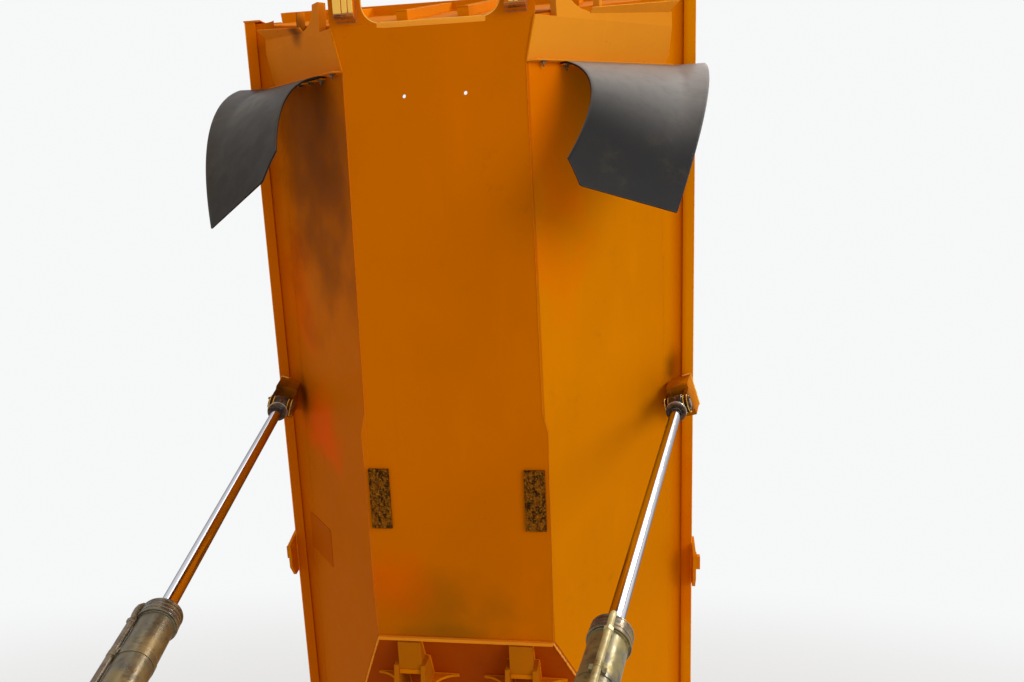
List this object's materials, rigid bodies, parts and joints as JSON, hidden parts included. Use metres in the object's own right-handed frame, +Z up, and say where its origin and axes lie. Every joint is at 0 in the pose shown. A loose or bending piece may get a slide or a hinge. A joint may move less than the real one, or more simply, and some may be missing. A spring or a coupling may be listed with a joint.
{
  "type": "tipping body of an articulated dump truck with its hoist cylinders",
  "caption": "Raised steel tipping body of an articulated dump truck, hinged at the rear, with telescoping hoist cylinders, rubber mud flaps, ribs and side rails.",
  "frame": {"origin": "middle of the hinge bore at the rear of the body, on the machine's centre line", "axes": "+X along the hinge to the machine's left, +Y to the machine's rear, +Z up; the body is stored tipped as in the picture"},
  "size_m": [2.9053, 5.4013, 5.0837],
  "materials": {
    "orange_paint": "weathered construction orange paint, satin",
    "chrome_rod": "polished hard chrome",
    "cylinder_steel": "olive grey cylinder paint, oily and stained",
    "dark_steel": "greasy dark steel",
    "flap_rubber": "dusty black rubber",
    "pad_rubber": "worn black pads with rust showing through"
  },
  "bodies": {
    "tipping_body": {"floor_panel": "orange_paint", "kink_bar": "orange_paint", "tail_floor": "orange_paint", "tail_lip": "orange_paint", "side_slope_left": "orange_paint", "side_slope_right": "orange_paint", "side_wall_left": "orange_paint", "side_wall_right": "orange_paint", "lower_rail_left": "orange_paint", "lower_rail_right": "orange_paint", "top_rail_left": "orange_paint", "top_rail_right": "orange_paint", "side_posts_left": "orange_paint", "side_posts_right": "orange_paint", "front_wall": "orange_paint", "front_ribs": "orange_paint", "front_top_rail": "orange_paint", "front_band_left": "orange_paint", "front_band_right": "orange_paint", "front_ear_left": "orange_paint", "front_ear_right": "orange_paint", "hinge_gussets_left": "orange_paint", "hinge_gussets_right": "orange_paint", "hinge_arm_left": "orange_paint", "hinge_arm_right": "orange_paint", "wear_pad_left": "pad_rubber", "wear_pad_right": "pad_rubber", "side_lug_left": "orange_paint", "side_lug_right": "orange_paint", "flap_strip_left": "dark_steel", "flap_strip_right": "dark_steel", "mud_flap_left": "flap_rubber", "mud_flap_right": "flap_rubber", "cylinder_bracket_left": "orange_paint", "cylinder_bracket_right": "orange_paint"},
    "hoist_rod_left": {"rod_left": "chrome_rod"},
    "hoist_rod_right": {"rod_right": "chrome_rod"},
    "hoist_barrel_left": {"barrel_left": "cylinder_steel", "gland_left": "cylinder_steel", "pressure_pipe_left": "cylinder_steel"},
    "hoist_barrel_right": {"barrel_right": "cylinder_steel", "gland_right": "cylinder_steel", "pressure_pipe_right": "cylinder_steel"}
  },
  "joints": [
    {"name": "hoist_left_swing", "type": "hinge", "parent": "tipping_body", "child": "hoist_rod_left", "pos_m": [1.284, 0.01075, 1.78322], "axis": [-0.9372, 0.297, -0.1832], "range_deg": [0, 73.69], "deforming": ["mud_flap_left"]},
    {"name": "hoist_left_stroke", "type": "slide", "parent": "hoist_rod_left", "child": "hoist_barrel_left", "axis": [-0.1893, -0.8738, -0.448], "range_m": [-1.948, 0]},
    {"name": "hoist_right_swing", "type": "hinge", "parent": "tipping_body", "child": "hoist_rod_right", "pos_m": [-1.284, 0.01075, 1.78322], "axis": [-0.9372, -0.297, 0.1832], "range_deg": [0, 73.69], "deforming": ["mud_flap_right"]},
    {"name": "hoist_right_stroke", "type": "slide", "parent": "hoist_rod_right", "child": "hoist_barrel_right", "axis": [0.1893, -0.8738, -0.448], "range_m": [-1.948, 0]}
  ],
  "couplings": [
    {"joint": "hoist_left_stroke", "follows": "hoist_left_swing", "m_per_rad": -1.5145},
    {"joint": "hoist_right_stroke", "follows": "hoist_right_swing", "m_per_rad": -1.5145}
  ]
}
